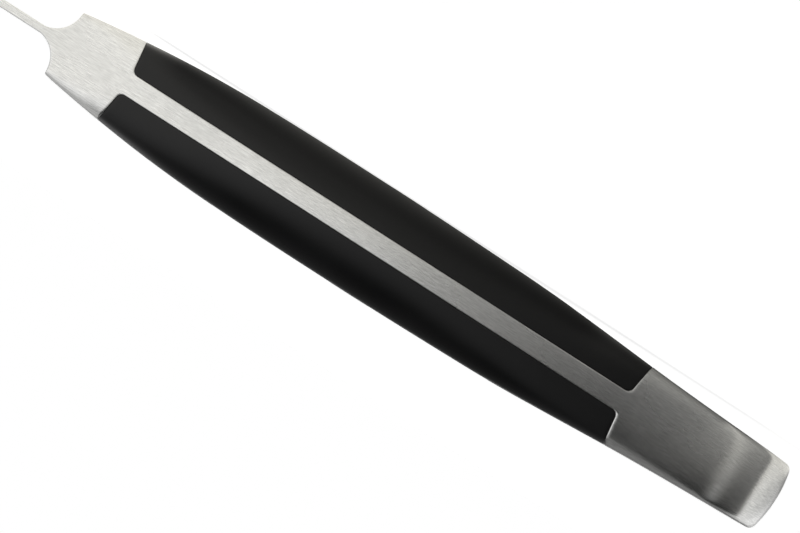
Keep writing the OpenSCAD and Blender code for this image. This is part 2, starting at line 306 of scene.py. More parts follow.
def normal(s, phi):
    """The outward normal of the surface there"""
    near = np.where(s < HANDLE_L - NEAR_END, s, s - NORMAL_STEP)
    ds = np.stack(skin(near + NORMAL_STEP, phi)) - np.stack(skin(near, phi))
    dphi = np.stack(skin(s, phi + NORMAL_STEP)) - np.stack(skin(s, phi))
    n = np.cross(dphi, ds, axis=0)
    n = n / np.maximum(np.linalg.norm(n, axis=0), LEAST)
    out = np.stack([np.zeros_like(s), -np.cos(phi), np.sin(phi)])
    return n * np.sign((n * out).sum(0) + TIE)


# The steps of a round edge, in degrees and as shares of its radius
ROUND_ANGLES = (0, 22.5, 45, 67.5, 90)
ROUNDING = 1 - np.sin(np.radians(ROUND_ANGLES[::-1]))

# Lines round the handle. Near the spine and the underside a line keeps its distance from the middle plane,
# so that it follows the strip of tang. Between them the lines share the side, crowded towards the
# section's corners. Levels are measured from the middle plane near the spine, and outer ones from the
# tang's side. Some lie where the cove and the scales' corners have turned by these degrees, and only an
# edge's own lines lie within so many of its radii
MID_LINES = 64
CROWD = 0.6
SPINE_LEVELS = (0, 0.15, 0.3, 0.42, 0.5, 0.55)
COVE_ANGLES = (3, 6, 9, 13, 17, 21, 25, 29, 33, 37)
CORNER_ANGLES = (24, 32, 40, 48, 56, 64, 72, 79)
OUTER_LEVELS = (1.15, 1.5)
EDGE_ROOM = 1.3
TANG_Z = TANG_T / 2
CORNER_TANGENT = CORNER_R / math.tan((math.pi / 2 + JOINT_DRAFT) / 2)
CORNER_TOP = CORNER_TANGENT * math.cos(JOINT_DRAFT)


def strip_levels():
    """Distances from the middle plane of the lines on the strip of tang, the last one at its edge"""
    arc = SPINE_T / 2 - COVE_SINK + COVE_R * (1 - np.cos(np.radians(COVE_ANGLES)))
    core = [z for z in (*SPINE_LEVELS, *arc) if z < TANG_Z - EDGE_ROOM * STEEL_EDGE_R]
    return np.array(core + list(TANG_Z - ROUNDING[::-1] * STEEL_EDGE_R))


def side_levels():
    """The same for the lines next to them on the scales and round the scales' corners"""
    edge = ROUNDING[1:] * SCALE_EDGE_R
    arc = CORNER_R * (1 - np.cos(np.radians(CORNER_ANGLES)))
    return TANG_Z + np.array([*edge, *arc[arc > EDGE_ROOM * SCALE_EDGE_R], CORNER_TOP, *OUTER_LEVELS])


STRIP = strip_levels()
SIDE = side_levels()
LEVELS = np.concatenate([STRIP, SIDE])
LINES = 2 * len(LEVELS) + MID_LINES
ON_STRIP = len(STRIP)


# Where the search for a line's place round a slice starts, how near the widest place a line may lie, and
# how much of the handle's half width the levels may take where it is narrow
START_PHI = 0.3
MOST_OUT = 0.999
NARROW = 0.62


def angle_at(s, z, under):
    """The place round the slice where the surface is z from the middle plane"""
    phi = np.full(np.shape(s), math.pi - START_PHI if under else START_PHI)
    q = along(SQUARE, s)
    for _ in range(ANGLE_ROUNDS):
        w = half_w(skin(s, phi)[0])
        u = np.clip(z / w, 0, MOST_OUT)
        v = (1 - u ** q) ** (1 / q)
        phi = np.arctan2(u, -v if under else v)
    return phi


def unwarped(phi):
    """The even angle that is crowded towards the section's corners to become this one"""
    even = phi
    for _ in range(EVEN_ROUNDS):
        even = even - (even + CROWD / 4 * np.sin(4 * even) - phi) / (1 + CROWD * np.cos(4 * even))
    return even


def lines(s):
    """The places round the slices of all lines, where s has a column for each line"""
    shrink = np.minimum(1, NARROW * half_w(s) / LEVELS[-1])
    n = len(LEVELS)
    phi = np.zeros(np.shape(s))
    phi[:, :n] = angle_at(s[:, :n], LEVELS * shrink[:, :n], False)
    phi[:, -n:] = angle_at(s[:, -n:], LEVELS[::-1] * shrink[:, -n:], True)
    mid = s[:, n:-n]
    first = angle_at(mid, LEVELS[-1] * shrink[:, n:-n], False)
    last = angle_at(mid, LEVELS[-1] * shrink[:, n:-n], True)
    share = np.arange(1, MID_LINES + 1) / (MID_LINES + 1)
    first, last = unwarped(first), unwarped(last)
    even = first + (last - first) * share
    phi[:, n:-n] = even + CROWD / 4 * np.sin(4 * even)
    return phi


def end_offset(z, gap=0.0):
    """How far the scale's end lies from the joint at z, along a slant with a round corner at the tang"""
    d = np.maximum(z - TANG_Z - gap, 0)
    arc = CORNER_TANGENT - leg(CORNER_R, CORNER_R - d)
    return gap + np.where(d < CORNER_TOP, arc, -d * math.tan(JOINT_DRAFT))


def outside_window(s, z, gap=0.0):
    """Distance of a place on the surface from the scale's outline, less than nothing on the scale"""
    front = s - BOLSTER_L - gap
    rear = CAP_S - gap - s
    x = np.minimum(front, rear)
    d = z - TANG_Z - gap
    vx, vd = x - CORNER_TANGENT, d - CORNER_R
    cos_a, sin_a = math.cos(JOINT_DRAFT), math.sin(JOINT_DRAFT)
    beta = -vx / cos_a
    alpha = -vd - beta * sin_a
    flat = np.maximum(-d, -(x * cos_a + d * sin_a))
    return np.where((alpha > 0) & (beta > 0), np.hypot(vx, vd) - CORNER_R, flat)


# How much the blade's face leans inwards down to the edge and towards the point
RISE_A = math.atan((SPINE_T - EDGE_T) / 2 / BLADE_H)
TAPER_A = math.atan((SPINE_T - POINT_T) / 2 / BLADE_L)


def face_z(s, y):
    """The blade's left face, where s is less than nothing in front of the bolster"""
    return SPINE_T / 2 - y * math.tan(RISE_A) + s * math.tan(TAPER_A)


def cove_height(s, y, z):
    """How high a place is over the foot of the cove, which lies a little under the blade's face"""
    return z - face_z(s, y) + COVE_SINK


def cove_reach(h):
    """How far in front of the bolster the cove's surface is at height h over the blade's face"""
    arc = COVE_R - leg(COVE_R, COVE_R - h)
    return np.where(h <= 0, COVE_R, np.where(h >= COVE_R, 0, arc))


def outside_cove(s, h):
    """Distance of a place on the bolster's surface from the cove's outline"""
    return np.where(h < COVE_R, np.hypot(s + COVE_R, h - COVE_R) - COVE_R, s)


def rounded(d, r):
    """How far a round edge of radius r lies under the surface at distance d from the edge"""
    return r - leg(r, np.clip(r - d, 0, r))


def settle(s, outline):
    """The place of each line on an outline that depends on where the surface is there"""
    for _ in range(OUTLINE_ROUNDS):
        at, y, z = skin(s, lines(s))
        s = outline(s, y, z)
    return s


def rows_between(start, end, count, r_start, r_end):
    """Rows of places from one outline to another, close together at the round edges"""
    a = start + ROUNDING[:-1, None] * r_start
    b = end - ROUNDING[-2::-1, None] * r_end
    share = np.linspace(0, 1, count)[:, None]
    middle = start + r_start + (end - r_end - start - r_start) * share
    return np.concatenate([a, middle, b])


# Meshes: points that lie in one cell of this size are one
WELD = 2e-5


class Shell:
    """Patches of a surface, which are welded where they meet"""

    def __init__(self):
        self.points = []
        self.faces = []
        self.slots = []
        self.count = 0

    def face(self, ids, slot):
        self.faces.append([int(i) for i in ids])
        self.slots.append(slot)

    def patch(self, points, slot, closed=False):
        """A grid of points, rows by columns, as quads. Returns the points' numbers"""
        n, m = points.shape[:2]
        ids = np.arange(self.count, self.count + n * m).reshape(n, m)
        self.points.append(points.reshape(-1, 3))
        self.count += n * m
        wide = np.concatenate([ids, ids[:, :1]], 1) if closed else ids
        quads = np.stack([wide[:-1, :-1], wide[:-1, 1:], wide[1:, 1:], wide[1:, :-1]], -1)
        self.faces += quads.reshape(-1, 4).tolist()
        self.slots += [slot] * quads[..., 0].size
        return ids

    def mesh(self, name, mirrored):
        """The shell as a mesh in the frame, with its image in the middle plane if it is mirrored"""
        points = np.concatenate(self.points)
        faces = list(self.faces)
        slots = list(self.slots)
        if mirrored:
            faces += [[i + len(points) for i in f][::-1] for f in self.faces]
            slots += self.slots
            points = np.concatenate([points, points * [1, 1, -1]])
        points, faces, slots = welded(points, faces, slots)
        data = bpy.data.meshes.new(name)
        data.from_pydata(to_frame(points).tolist(), [], faces)
        data.polygons.foreach_set("material_index", slots)
        data.update()
        return data


def welded(points, faces, slots):
    """The same surface with points at one place made one, and without the faces that vanish"""
    keys = np.round(points / WELD).astype(np.int64)
    _, first, back = np.unique(keys, axis=0, return_index=True, return_inverse=True)
    back = back.ravel()
    kept, kept_slots = [], []
    for f, slot in zip(faces, slots):
        ids = [int(back[i]) for i in f]
        ids = [a for a, b in zip(ids, ids[1:] + ids[:1]) if a != b]
        if len(set(ids)) > 2:
            kept.append(ids)
            kept_slots.append(slot)
    return points[first], kept, kept_slots


def to_frame(points):
    """From the file's own places, in millimetres, to the frame, in metres"""
    x = ZERO_X - points[:, 0]
    y = ZERO_Y + points[:, 1]
    z = ZERO_Z + points[:, 2]
    return np.stack([x, y, z], 1) * MM


# The finishes of the forging's faces, by number. Walls are what the scales cover
HANDLE_SLOT, COVE_SLOT, BLADE_SLOT, BEVEL_SLOT, WALL_SLOT = range(5)

# How many rows each stretch of the handle has, and the angle at which the butt's turn is closed
BOLSTER_ROWS = 34
CAP_ROWS = 34
TURN_ROWS = 84
TURN_END = math.radians(89.5)
STRIP_ROWS = 150
SCALE_ROWS = 170
COVE_ROWS = 26


def dressed(s, phi, down):
    """Points of the surface, moved in along its normal"""
    return np.moveaxis(np.stack(skin(s, phi)) - normal(s, phi) * down, 0, -1)


def across(shell, edge, slot):
    """Closes an outline on the left side: each point is joined to the one below it"""
    n = edge.shape[0] // 2
    shell.patch(np.stack([edge[:n], edge[::-1][:n]]), slot)


def steel_skin(s):
    """Points of the steel's surface, with round edges at the scales and at the cove"""
    phi = lines(s)
    _, y, z = skin(s, phi)
    window = rounded(np.maximum(outside_window(s, z), 0), STEEL_EDGE_R)
    cove = rounded(np.maximum(outside_cove(s, cove_height(s, y, z)), 0), STEEL_EDGE_R)
    return dressed(s, phi, np.maximum(window, cove))


def handle_shell():
    """Bolster, tang and butt cap: the left half, closed at the middle plane by its mirror image"""
    shell = Shell()
    start = np.zeros((1, LINES))
    cove_edge = settle(start - 1, lambda s, y, z: -cove_reach(cove_height(s, y, z)))
    front_edge = settle(start + BOLSTER_L, lambda s, y, z: BOLSTER_L + end_offset(z))
    rear_edge = settle(start + CAP_S, lambda s, y, z: CAP_S - end_offset(z))

    bolster = steel_skin(rows_between(cove_edge, front_edge, BOLSTER_ROWS, STEEL_EDGE_R, STEEL_EDGE_R))
    shell.patch(bolster, HANDLE_SLOT)

    # The cap: from the scales to the butt's turn, and round it to just before the pole
    turn = np.linspace(FALL_A, TURN_END, TURN_ROWS)
    round_rows = BUTT_S + BUTT_R * np.sin(turn)[1:, None] + start
    cap_rows = rows_between(rear_edge, start + TURN_AT, CAP_ROWS, STEEL_EDGE_R, 0)[:1 - len(ROUNDING)]
    cap = steel_skin(np.concatenate([cap_rows, round_rows]))
    shell.patch(cap, HANDLE_SLOT)
    across(shell, cap[-1], HANDLE_SLOT)

    # The strips of tang, between the first and last places of the scales beside them
    first, last = BOLSTER_L + CORNER_TANGENT, CAP_S - CORNER_TANGENT
    strip_rows = np.linspace(first, last, STRIP_ROWS)[:, None] + start
    strips = steel_skin(strip_rows)
    strips[0], strips[-1] = bolster[-1], cap[0]
    shell.patch(strips[:, :ON_STRIP], HANDLE_SLOT)
    shell.patch(strips[:, -ON_STRIP:], HANDLE_SLOT)

    # What the scales cover
    shell.patch(strips[:, [ON_STRIP - 1, -ON_STRIP]], WALL_SLOT)
    across(shell, bolster[-1][ON_STRIP - 1:1 - ON_STRIP], WALL_SLOT)
    across(shell, cap[0][ON_STRIP - 1:1 - ON_STRIP], WALL_SLOT)

    # The hollow in front of the bolster, and the flat behind it that the blade hides
    half = LINES // 2
    upper, lower = bolster[0][:half], bolster[0][::-1][:half]
    share = np.linspace(0, 1, COVE_ROWS)[:, None]
    y = upper[:, 1] + (lower[:, 1] - upper[:, 1]) * share
    z = upper[:, 2] + (lower[:, 2] - upper[:, 2]) * share
    s = np.zeros_like(y)
    for _ in range(HOLLOW_ROUNDS):
        s = -cove_reach(cove_height(s, y, z))
    s = s + math.tan(math.radians(FRONT_LEAN)) * (y - top(s))
    cove = np.stack([s, y, z], -1)
    cove[0], cove[-1] = upper, lower
    shell.patch(cove[:, :-1], COVE_SLOT)
    close = shell.patch(np.concatenate([cove[:, -2], lower[-1:], upper[-1:]])[:, None], COVE_SLOT)
    shell.face(close.ravel(), COVE_SLOT)
    return shell


# The blade's outline and its surface


def arc_r(dx, dy):
    """The radius of an arc that starts level and drops by dy over the length dx"""
    return (dx * dx + dy * dy) / (2 * dy)


BELLY_R = arc_r(BLADE_L - BELLY_START, BLADE_H - POINT_DROP - POINT_E)
FALL_R = arc_r(BLADE_L - SPINE_TURN, POINT_DROP - POINT_E)
BEVEL_SLOPE = math.tan(math.radians(BEVEL_A))

# The blade's root starts inside the bolster, and is as high as the handle is at this place in the cove
ROOT_X = -3.0
ROOT_S = -2.0
ROOT_H = float(bottom(np.array(ROOT_S)))

# Columns along the blade: through its root, round the choil, along the straight edge, along the belly,
# where they crowd towards the point, and round the point
ROOT_COLUMNS = (ROOT_X, -1.5, 0, 0.8)
CHOIL_COLUMNS = 9
HEEL_STEP = 0.02
STRAIGHT_COLUMNS = 60
BELLY_COLUMNS = 110
BELLY_CROWD = 1.15
POINT_ANGLES = (15, 30, 45, 60, 75, 86)

# Rows across the blade, as shares of the flat spine and of the bevel, and how many the face has.
# Near the point the spine's round edge takes at most this share of the height, and the bevel starts
# between these shares of it
SPINE_SHARES = (0, 0.35, 0.6, 0.8)
FACE_ROWS = 18
BEVEL_SHARES = (0.25, 0.5, 0.75, 1)
ROUND_SHARE = 0.3
BEVEL_FIRST = 0.6
BEVEL_LAST = 0.98


def edge_y(x):
    """The blade's lower outline: the root, the hollow corner, the straight edge and the belly"""
    r = min(CHOIL_R, BLADE_H - ROOT_H)
    choil = ROOT_H + r - leg(r, np.maximum(x - HEEL_X + r, 0))
    belly = BLADE_H - BELLY_R + leg(BELLY_R, np.maximum(x - BELLY_START, 0))
    return np.where(x < HEEL_X, choil, belly)


def spine_y(x):
    return FALL_R - leg(FALL_R, np.maximum(x - SPINE_TURN, 0))


def edge_distance(x, y):
    """How far a place on the blade is from its cutting edge"""
    belly = BELLY_R - np.hypot(x - BELLY_START, y - BLADE_H + BELLY_R)
    return np.where(x < BELLY_START, BLADE_H - y, belly)


def blade_columns():
    """Places along the blade from its root to its point"""
    end = BLADE_L - POINT_E
    choil = HEEL_X - CHOIL_R * np.cos(np.radians(np.linspace(0, 90, CHOIL_COLUMNS)))
    straight = np.linspace(HEEL_X + HEEL_STEP, BELLY_START, STRAIGHT_COLUMNS)
    belly = end - (end - BELLY_START) * (1 - np.linspace(0, 1, BELLY_COLUMNS)[1:]) ** BELLY_CROWD
    point = BLADE_L - POINT_E * (1 - np.sin(np.radians(POINT_ANGLES)))
    return np.concatenate([ROOT_COLUMNS, choil, straight, belly, point])


def bevel_y(x, high, low):
    """Where the bevel's plane meets the blade's face"""
    y = low
    for _ in range(BEVEL_ROUNDS):
        wanted = (face_z(-x, y) - EDGE_E) / BEVEL_SLOPE
        y = y + edge_distance(x, y) - wanted
    return np.clip(y, high + BEVEL_FIRST * (low - high), high + BEVEL_LAST * (low - high))


def blade_shell():
    """The blade's left half: columns along it, rows from the spine to the cutting edge"""
    x = blade_columns()
    sink = np.where(x > BLADE_L - POINT_E, POINT_E - leg(POINT_E, x - BLADE_L + POINT_E), 0)
    high, low = spine_y(x) + sink, edge_y(x) - sink
    bevel = bevel_y(x, high, low)

    # Rows: the flat of the spine, its round edge, the face, the bevel, the edge itself
    r = np.minimum(SPINE_EDGE_R, ROUND_SHARE * (low - high))
    rows = []
    flat = face_z(-x, high)
    for share in SPINE_SHARES:
        rows.append([high, (flat - r) * share])
    for a in np.radians(ROUND_ANGLES):
        rows.append([high + r * (1 - np.cos(a)), flat - r * (1 - np.sin(a))])
    face_from = high + r
    for share in np.linspace(0, 1, FACE_ROWS)[1:]:
        y = face_from + (bevel - face_from) * share
        thin = EDGE_E + np.maximum(edge_distance(x, y), 0) * BEVEL_SLOPE
        rows.append([y, np.minimum(face_z(-x, y), thin)])
    body = len(rows)
    for share in BEVEL_SHARES:
        y = bevel + (low - bevel) * share
        thin = EDGE_E + np.maximum(edge_distance(x, y), 0) * BEVEL_SLOPE
        rows.append([y, np.minimum(rows[body - 1][1], thin)])
    rows.append([low, 0 * low])
    grid = np.array([np.stack([-x, y, z], -1) for y, z in rows])

    shell = Shell()
    shell.patch(grid[:body], BLADE_SLOT)
    shell.patch(grid[body - 1:], BEVEL_SLOT)
    for end in (0, -1):
        ids = shell.patch(grid[:, [end]], BLADE_SLOT)
        shell.face(ids.ravel(), BLADE_SLOT)
    return shell


def scale_shell():
    """The left scale: its outer face, its two ends and the face that lies on the tang"""
    shell = Shell()
    keep = slice(ON_STRIP - 1, 1 - ON_STRIP)
    start = np.zeros((1, LINES))
    front = settle(start + BOLSTER_L, lambda s, y, z: BOLSTER_L + end_offset(z, SCALE_GAP))
    rear = settle(start + CAP_S, lambda s, y, z: CAP_S - end_offset(z, SCALE_GAP))
    s = rows_between(front, rear, SCALE_ROWS, SCALE_EDGE_R, SCALE_EDGE_R)
    phi = lines(s)
    z = skin(s, phi)[2]
    down = SCALE_SUNK + rounded(np.maximum(-outside_window(s, z, SCALE_GAP), 0), SCALE_EDGE_R)
    outer = dressed(s, phi, down)[:, keep]
    outer[:, [0, -1], 2] += SCALE_GAP
    shell.patch(outer, 0)
    across(shell, outer[0], 0)
    across(shell, outer[-1], 0)
    shell.patch(outer[:, [0, -1]], 0)
    return shell


def surface_z(x, y):
    """How far the handle's surface is from the middle plane over the place s = x, drop = y"""
    s = np.array(x, float)
    for _ in range(SLICE_ROUNDS):
        t = top(s)
        lean = np.tan(np.radians(along(LEAN, s)))
        s = x - lean * (y - t)
    f = s + lean * (bottom(s + lean * (bottom(s) - t)) - t)
    b = bottom(f)
    wide = along(WIDE, s)
    q = along(SQUARE, s)
    v = (wide - (y - t) / (b - t)) / np.where(y - t < wide * (b - t), wide, 1 - wide)
    u = 0
    for _ in range(CROWN_ROUNDS):
        full = np.abs(v) / (1 - along(CROWN, s) * u * u)
        u = (1 - full ** q) ** (1 / q)
    return half_w(x) * u


def rivet_place(i):
    """Where a rivet is along the handle and down from the spine, and how high its head's seat is"""
    s = RIVET_AT + i * RIVET_PITCH
    y = float(top(np.array(s)) + bottom(np.array(s))) / 2
    return s, y, float(half_w(np.array(s))) - HEAD_T


# Faces round a rivet, and the circles on its head as shares of the radius
TURN_STEPS = 96
HEAD_SHARES = (0, 0.15, 0.3, 0.45, 0.6, 0.72, 0.84, 0.92)


def lathe(place, profile):
    """A closed piece round a rivet's axis. The profile is a list of radius, height and drop. Where the
    height is None the point lies on the handle's surface, lowered by the drop"""
    s, y, _ = place
    a = np.linspace(0, 2 * math.pi, TURN_STEPS, endpoint=False)
    rings = []
    for r, z, down in profile:
        x, v = s + r * np.cos(a), y + r * np.sin(a)
        height = surface_z(x, v) - down if z is None else np.full_like(a, z)
        rings.append(np.stack([x, v, height], -1))
    shell = Shell()
    shell.patch(np.array(rings), 0, closed=True)
    return shell


def head_profile(place):
    """The ground face of a rivet's head, its round edge and its side, down to the seat"""
    head = HEAD_D / 2
    rim = [(head - RIVET_EDGE_R * (1 - math.sin(a)), RIVET_EDGE_R * (1 - math.cos(a)))
           for a in np.radians(ROUND_ANGLES)]
    rows = [(head * share, None, 0) for share in HEAD_SHARES]
    return rows + [(r, None, down) for r, down in rim] + [(head, place[2], 0)]


def shank(r, seat, end):
    """A round shank from the seat down to its bevelled end"""
    return [(r, seat, 0), (r, end + END_BEVEL, 0), (r - END_BEVEL, end, 0)]


def pin_shell(i):
    place = rivet_place(i)
    seat = place[2]
    end = END_GAP - seat
    return lathe(place, head_profile(place) + shank(PIN_D / 2, seat, end) + [(0, end, 0)])


def tube_shell(i):
    place = rivet_place(i)
    seat = place[2]
    end = END_GAP - seat
    bore_r = PIN_D / 2 + PIN_GAP
    bore_end = seat - END_GAP / 2
    bore = [(bore_r, end, 0), (bore_r, bore_end, 0), (0, bore_end, 0)]
    return lathe(place, head_profile(place) + shank(TUBE_D / 2, seat, end) + bore)


def flipped(shell):
    """The same shell on the knife's right side"""
    shell.points = [p * [1, 1, -1] for p in shell.points]
    shell.faces = [f[::-1] for f in shell.faces]
    return shell


def placed(data, name):
    """A new object in the scene"""
    obj = bpy.data.objects.new(name, data)
    bpy.context.scene.collection.objects.link(obj)
    return obj


def made(shell, name, mirrored=False):
    """An object with the shell's mesh, its faces turned outwards"""
    data = shell.mesh(name, mirrored)
    bm = bmesh.new()
    bm.from_mesh(data)
    bmesh.ops.recalc_face_normals(bm, faces=bm.faces)
    bm.to_mesh(data)
    open_edges = sum(not e.is_manifold for e in bm.edges)
    bm.free()
    if open_edges:
        print(f"{name}: {open_edges} open edges")
    return placed(data, name)


def cut(obj, tool, operation):
    """Joins a closed mesh to another, or cuts it from it"""
    step = obj.modifiers.new(operation, "BOOLEAN")
    step.operation = operation
    step.solver = "MANIFOLD"
    step.object = tool
    bpy.context.view_layer.update()
    shape = obj.evaluated_get(bpy.context.evaluated_depsgraph_get())
    data = bpy.data.meshes.new_from_object(shape)
    old = obj.data
    obj.modifiers.clear()
    obj.data = data
    bpy.data.meshes.remove(old)
    bpy.data.objects.remove(tool)


def drill(obj, sizes):
    """Cuts round holes at the rivets. Each size is a radius, a lower height and an upper height"""
    for i in range(len(RIVET_NAMES)):
        s, y, seat = rivet_place(i)
        for r, low, high in sizes(seat):
            profile = [(0, low, 0), (r, low, 0), (r, high, 0), (0, high, 0)]
            cut(obj, made(lathe((s, y, seat), profile), "hole"), "DIFFERENCE")


# An edge is sharp above this angle, and above the second one where two finishes meet. A weight over 50
# lets large faces count for more in the shading
SHARP_A = math.radians(32)
SEAM_A = math.radians(4)
NORMAL_WEIGHT = 60


def crease(obj):
    """Smooth shading, but for sharp edges and the lines where one finish meets another"""
    data = obj.data
    bm = bmesh.new()
    bm.from_mesh(data)
    for e in bm.edges:
        sides = e.link_faces
        if len(sides) != 2:
            continue
        one_finish = sides[0].material_index == sides[1].material_index
        e.smooth = e.calc_face_angle(0) <= (SHARP_A if one_finish else SEAM_A)
    for f in bm.faces:
        f.smooth = True
    bm.to_mesh(data)
    bm.free()
    weigh = obj.modifiers.new("even_normals", "WEIGHTED_NORMAL")
    weigh.keep_sharp = True
    weigh.weight = NORMAL_WEIGHT


def mirrored_mesh(data):
    """The mesh's image on the other side of the knife's middle plane"""
    copy = data.copy()
    to_plane = Matrix.Translation((0, 0, ZERO_Z * MM))
    copy.transform(to_plane @ Matrix.Scale(-1, 4, (0, 0, 1)) @ to_plane.inverted())
    copy.flip_normals()
    return copy


# Cuts reach this far to each side of the middle plane
REACH = 20


def build_pieces():
    """Every piece of the knife as an object, with the CAD node that it stands for"""
    pieces = {}
    hole_r = TUBE_D / 2 + HOLE_GAP
    forging = made(handle_shell(), "forging_metal", mirrored=True)
    blade = made(blade_shell(), "blade", mirrored=True)
    cut(forging, blade, "UNION")
    drill(forging, lambda seat: [(hole_r, -REACH, REACH)])
    pieces["forging"] = forging

    scale = made(scale_shell(), "left_scale_shell")
    drill(scale, lambda seat: [(hole_r, 0, REACH), (HEAD_D / 2 + HEAD_GAP, seat, REACH)])
    pieces["left_scale"] = scale
    pieces["right_scale"] = placed(mirrored_mesh(scale.data), "right_scale_shell")

    for i, name in enumerate(RIVET_NAMES):
        pin = name + "_rivet_pin"
        tube = name + "_rivet_tube"
        pieces[pin] = made(pin_shell(i), pin + "_steel")
        pieces[tube] = made(flipped(tube_shell(i)), tube + "_steel")
    for node, obj in pieces.items():
        crease(obj)
        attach(obj, "root")
        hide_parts(node)
    return pieces


pieces = build_pieces()


# Finishes: noise lies mostly between these levels
NOISE_LOW = 0.3
NOISE_HIGH = 0.7


class Graph:
    """The nodes of a material or of the world. A value is a number, a colour or another node's result"""

    def __init__(self, tree):
        self.nodes = tree.nodes
        self.links = tree.links

    def fill(self, node, values):
        """Gives a node's inputs their values, by the inputs' names or numbers"""
        for name, value in values.items():
            if isinstance(value, bpy.types.NodeSocket):
                self.links.new(value, node.inputs[name])
            else:
                node.inputs[name].default_value = value
        return node

    def add(self, kind, values):
        return self.fill(self.nodes.new("ShaderNode" + kind), values)

    def calc(self, kind, a, b=0):
        """A step of arithmetic"""
        step = self.add("Math", {0: a, 1: b})
        step.operation = kind
        return step.outputs[0]

    def degrees(self, angle):
        return self.calc("MULTIPLY", angle, 180 / math.pi)

    def kept_in(self, value, limit):
        return self.calc("MINIMUM", self.calc("MAXIMUM", value, -limit), limit)

    def split(self, vector):
        return self.add("SeparateXYZ", {"Vector": vector}).outputs

    def joined(self, x, y, z):
        return self.add("CombineXYZ", {"X": x, "Y": y, "Z": z}).outputs["Vector"]

    def chosen(self, kind, factor, a, b):
        """The value a where the factor is 0, and b where it is 1. The kind is VALUE, VECTOR or RGBA"""
        mix = self.add("Mix", {0: factor})
        mix.data_type = "FLOAT" if kind == "VALUE" else kind
        numbers = [n for n, s in enumerate(mix.inputs) if s.name in ("A", "B") and s.type == kind]
        self.fill(mix, dict(zip(numbers, (a, b))))
        return next(s for s in mix.outputs if s.type == kind)

    def noise(self, scale, detail, roughness=0.5, stretch=(1, 1, 1), place=None):
        """Noise over the object's own places, or over others, drawn out by the stretch"""
        if place is None:
            place = self.add("TexCoord", {}).outputs["Object"]
        drawn = self.add("Mapping", {"Vector": place, "Scale": stretch}).outputs["Vector"]
        values = {"Vector": drawn, "Scale": scale, "Detail": detail, "Roughness": roughness}
        return self.add("TexNoise", values).outputs["Fac"]

    def spread(self, noise, low, high):
        """A level that goes from low to high as the noise does"""
        node = self.add("MapRange", {"Value": noise, "From Min": NOISE_LOW, "From Max": NOISE_HIGH})
        return self.fill(node, {"To Min": low, "To Max": high}).outputs["Result"]

    def shades(self, noise, dark, light):
        """A colour that goes from dark to light as the noise goes from low to high"""
        ramp = self.add("ValToRGB", {"Fac": noise})
        for point, place, colour in zip(ramp.color_ramp.elements, (NOISE_LOW, NOISE_HIGH), (dark, light)):
            point.position = place
            point.color = (*colour, 1)
        return ramp.outputs["Color"]

    def bump(self, height, strength, depth, under=None):
        """The normal of a relief, which may lie on another one"""
        node = self.add("Bump", {"Height": height, "Strength": strength, "Distance": depth})
        if under is not None:
            self.fill(node, {"Normal": under})
        return node.outputs["Normal"]

    def curve(self, value, stops, low, high):
        """A level that follows the value through stops. Each is a place from low to high and its level"""
        share = self.calc("DIVIDE", self.calc("SUBTRACT", value, low), high - low)
        ramp = self.add("ValToRGB", {"Fac": share})
        points = ramp.color_ramp.elements
        points.remove(points[-1])
        for k, (place, level) in enumerate(stops):
            at = (place - low) / (high - low)
            point = points.new(at) if k else points[0]
            point.position = at
            point.color = (level, level, level, 1)
        return ramp.outputs["Color"]


def material(name):
    """A new material, its graph and its shader"""
    m = bpy.data.materials.new(name)
    m.use_nodes = True
    return m, Graph(m.node_tree), m.node_tree.nodes["Principled BSDF"]


# Surfaces that face the left or the right by more than this are ground lengthwise
SIDE_NORMAL = 0.65


def grain(g):
    """Which way the steel is ground: lengthwise on the sides, and along the spine and round the butt
    elsewhere. Returns places measured along and across the grain, and the grain's own direction"""
    here = g.add("TexCoord", {})
    x, y, z = g.split(here.outputs["Object"])
    nx, ny, nz = g.split(here.outputs["Normal"])
    past = g.calc("SUBTRACT", (ZERO_X - BUTT_S) * MM, x)
    above = g.calc("SUBTRACT", (ZERO_Y + BUTT_Y) * MM, y)
    turned = g.calc("MULTIPLY", g.calc("ARCTAN2", g.calc("MAXIMUM", past, 0), above), BUTT_R * MM)
    straight = g.calc("MULTIPLY", g.calc("MINIMUM", past, 0), g.calc("SIGN", above))
    round_place = g.joined(g.calc("ADD", turned, straight), z, 0)
    round_way = g.joined(ny, g.calc("MULTIPLY", nx, -1), 0)
    side = g.calc("GREATER_THAN", g.calc("ABSOLUTE", nz), SIDE_NORMAL)
    place = g.chosen("VECTOR", side, round_place, g.joined(x, y, 0))
    way = g.chosen("VECTOR", side, round_way, g.joined(1, 0, 0))
    return place, way


# The steel's scratches: how many lie in a metre, how far they are drawn out, how deep they are in
# metres and how strongly they show
FINE_SCALE = 14000
FINE_STRETCH = 0.08
FINE_DEPTH = 0.00001
FINE_STRENGTH = 0.3
COARSE_SCALE = 6000
COARSE_STRETCH = 0.09
COARSE_DEPTH = 0.00003
COARSE_STRENGTH = 0.25

# How pale the steel is, its warm tint, and how much lighter and darker its scratches are
STEEL_GREY = 0.585
STEEL_TINT = (1, 1, 0.98)
SHADE = 0.055
SHADE_STREAK = 0.055

# Broad clouds in which the steel is a little smoother or rougher
CLOUD_SCALE = 160
CLOUD_STRETCH = (0.4, 1, 1)
SMOOTHER = 0.04
ROUGHER = 0.05


